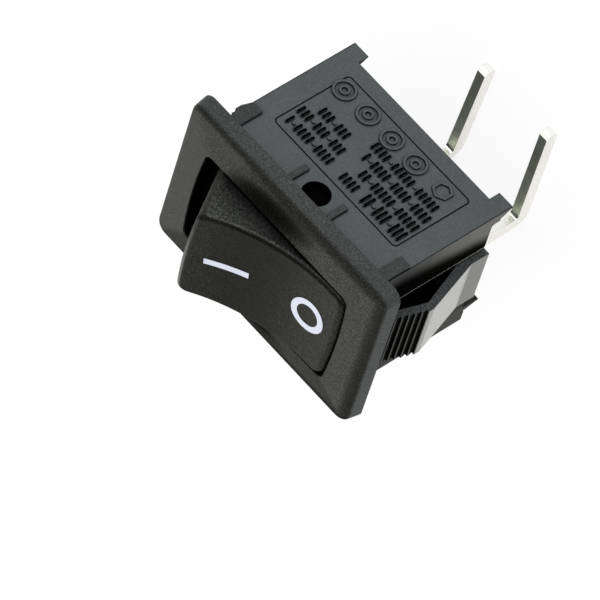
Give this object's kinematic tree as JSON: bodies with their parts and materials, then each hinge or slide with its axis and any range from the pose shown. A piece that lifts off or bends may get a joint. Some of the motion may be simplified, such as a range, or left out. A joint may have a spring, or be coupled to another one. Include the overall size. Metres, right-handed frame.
{
  "type": "rocker switch",
  "caption": "Miniature snap-in rocker switch with a sloping bezel, a dished rocker, toothed spring clips and right-angle board pins.",
  "frame": {"origin": "centre of the panel cut-out, on the plane where the bezel lies on the panel", "axes": "+Z out of the panel, +X towards the I end of the rocker, -Y towards the marked side of the body and the pin tips"},
  "size_m": [0.021, 0.0183, 0.0222],
  "materials": {
    "housing_plastic": "fine spark-eroded grain on the bezel, smooth on the body",
    "rocker_plastic": "fine spark-eroded grain",
    "plunger_plastic": "smooth",
    "spring_steel": "drawn wire",
    "blade_brass": "rolled strip",
    "contact_silver": "turned and headed",
    "tinned_brass": "bright tin plating"
  },
  "bodies": {
    "body": {"housing": "housing_plastic", "fixed_contact": "contact_silver", "common_terminal": "tinned_brass", "end_terminal": "tinned_brass"},
    "rocker": {"rocker": "rocker_plastic", "spring": "spring_steel"},
    "plunger": {"plunger": "plunger_plastic"},
    "contact": {"contact_blade": "blade_brass", "moving_contact": "contact_silver"}
  },
  "joints": [
    {"name": "rocker_pivot", "type": "hinge", "parent": "body", "child": "rocker", "pos_m": [0, 0, -0.00145], "axis": [0, 1, 0], "range_deg": [0, 35.7]},
    {"name": "plunger_slide", "type": "slide", "parent": "rocker", "child": "plunger", "axis": [-0.3065, 0, 0.9519], "range_m": [0, 0.0009], "stiffness_N_per_m": 300, "springref_m": -0.001, "deforming": ["spring"]},
    {"name": "blade_rock", "type": "hinge", "parent": "body", "child": "contact", "pos_m": [0, 0, -0.0072], "axis": [0, 1, 0], "range_deg": [-10, 0]}
  ],
  "couplings": [
    {"joint": "blade_rock", "follows": "rocker_pivot", "ratio": -0.2801}
  ]
}
